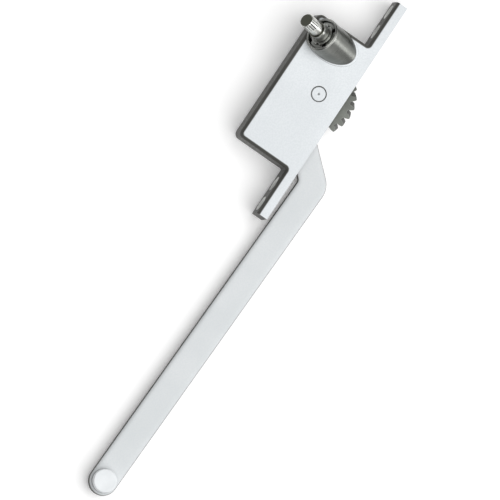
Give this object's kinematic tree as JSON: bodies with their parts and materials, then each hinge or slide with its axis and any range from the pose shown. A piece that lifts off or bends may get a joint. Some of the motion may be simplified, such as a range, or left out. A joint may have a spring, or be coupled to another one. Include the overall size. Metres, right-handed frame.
{
  "type": "casement window operator",
  "caption": "Face-mount window operator: cast housing with two ears, worm on an inclined splined crank stud, gear sector and a dog-leg arm with a guide button.",
  "frame": {"origin": "centre of the mounting face, midway between the four mounting screws and at mid height", "axes": "+Y out of the mounting face, towards the window frame; +X along the housing towards the arm's button; +Z along the arm's pivot, towards the crank stud's side"},
  "size_m": [0.309, 0.0674, 0.0391],
  "materials": {
    "housing_coat": "smooth light silver-grey coat on a zinc casting",
    "arm_coat": "smooth light silver-grey coat on steel strip",
    "cover_steel": "zinc plated",
    "gear_steel": "bare sintered steel with an oil film",
    "tower_steel": "satin machined steel",
    "worm_steel": "machined steel",
    "fastener_steel": "zinc plated",
    "pin_coat": "coated with the housing",
    "bush_bronze": "sintered bronze",
    "washer_nylon": "natural nylon",
    "button_steel": "bright plated"
  },
  "bodies": {
    "frame": {"housing": "housing_coat", "tower": "tower_steel", "bottom_cover": "cover_steel", "pivot_pin": "pin_coat", "upper_spacer": "washer_nylon", "lower_spacer": "washer_nylon", "bearing_nut": "fastener_steel", "thrust_washer": "bush_bronze", "cover_screw_1": "fastener_steel", "cover_screw_2": "fastener_steel", "cover_screw_3": "fastener_steel"},
    "swing_arm": {"gear_sector": "gear_steel", "arm": "arm_coat", "pivot_bush": "bush_bronze", "gear_rivet_1": "fastener_steel", "gear_rivet_2": "fastener_steel", "gear_rivet_3": "fastener_steel"},
    "crank_shaft": {"worm_shaft": "worm_steel", "stud_clip": "fastener_steel"},
    "button": {"guide_button": "button_steel", "button_washer": "fastener_steel", "button_collar": "washer_nylon"}
  },
  "joints": [
    {"name": "arm_swing", "type": "hinge", "parent": "frame", "child": "swing_arm", "pos_m": [-0.0032, -0.0143, 0], "axis": [0, 0, 1], "range_deg": [0, 100]},
    {"name": "crank_turn", "type": "hinge", "parent": "frame", "child": "crank_shaft", "pos_m": [-0.0295, -0.0143, -0.00047], "axis": [0, 0.766, -0.6428], "range_deg": [0, 2500]},
    {"name": "button_spin", "type": "hinge", "parent": "swing_arm", "child": "button", "pos_m": [0.2328, 0.0064, 0], "axis": [0, 0, 1], "continuous": true}
  ],
  "couplings": [
    {"joint": "crank_turn", "follows": "arm_swing", "ratio": 25}
  ]
}
